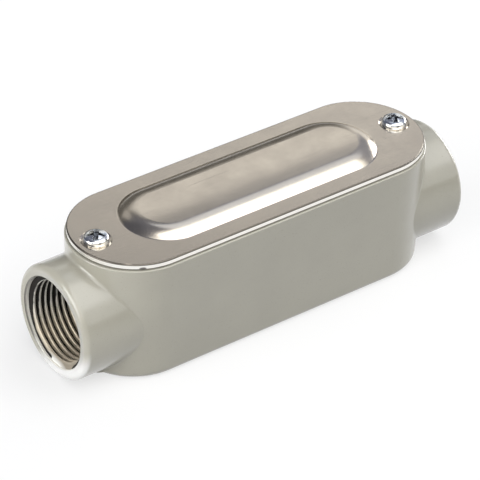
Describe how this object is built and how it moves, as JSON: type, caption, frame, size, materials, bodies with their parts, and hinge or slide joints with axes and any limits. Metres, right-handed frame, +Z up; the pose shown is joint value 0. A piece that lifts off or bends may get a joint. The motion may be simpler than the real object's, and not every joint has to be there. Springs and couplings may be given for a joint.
{
  "type": "straight-through conduit body",
  "caption": "Straight conduit body: round-ended cast housing with threaded end hubs under a screwed cover with a raised panel.",
  "frame": {"origin": "middle of the flat back, on the surface that the part stands on", "axes": "+X along the conduit, out of the right hub; +Y across the housing; +Z up, out of the cover"},
  "size_m": [0.13, 0.0374, 0.0407],
  "materials": {
    "housing_paint": "satin",
    "gasket_rubber": "matte",
    "cover_metal": "satin",
    "screw_zinc": "polished"
  },
  "bodies": {
    "housing": {"housing": "housing_paint", "cover_gasket": "gasket_rubber"},
    "cover": {"cover": "cover_metal"},
    "screw_left": {"cover_screw_left": "screw_zinc"},
    "screw_right": {"cover_screw_right": "screw_zinc"}
  },
  "joints": [
    {"name": "cover_lift", "type": "slide", "parent": "housing", "child": "cover", "axis": [0, 0, 1], "range_m": [0, 0.01]},
    {"name": "screw_turn_left", "type": "hinge", "parent": "cover", "child": "screw_left", "pos_m": [-0.051, 0, 0.0386], "axis": [0, 0, 1], "range_deg": [0, 4536]},
    {"name": "screw_turn_right", "type": "hinge", "parent": "cover", "child": "screw_right", "pos_m": [0.051, 0, 0.0386], "axis": [0, 0, 1], "range_deg": [0, 4536]}
  ],
  "couplings": [
    {"joint": "screw_turn_left", "follows": "cover_lift", "rad_per_m": 7915.8},
    {"joint": "screw_turn_right", "follows": "cover_lift", "rad_per_m": 7915.8}
  ]
}
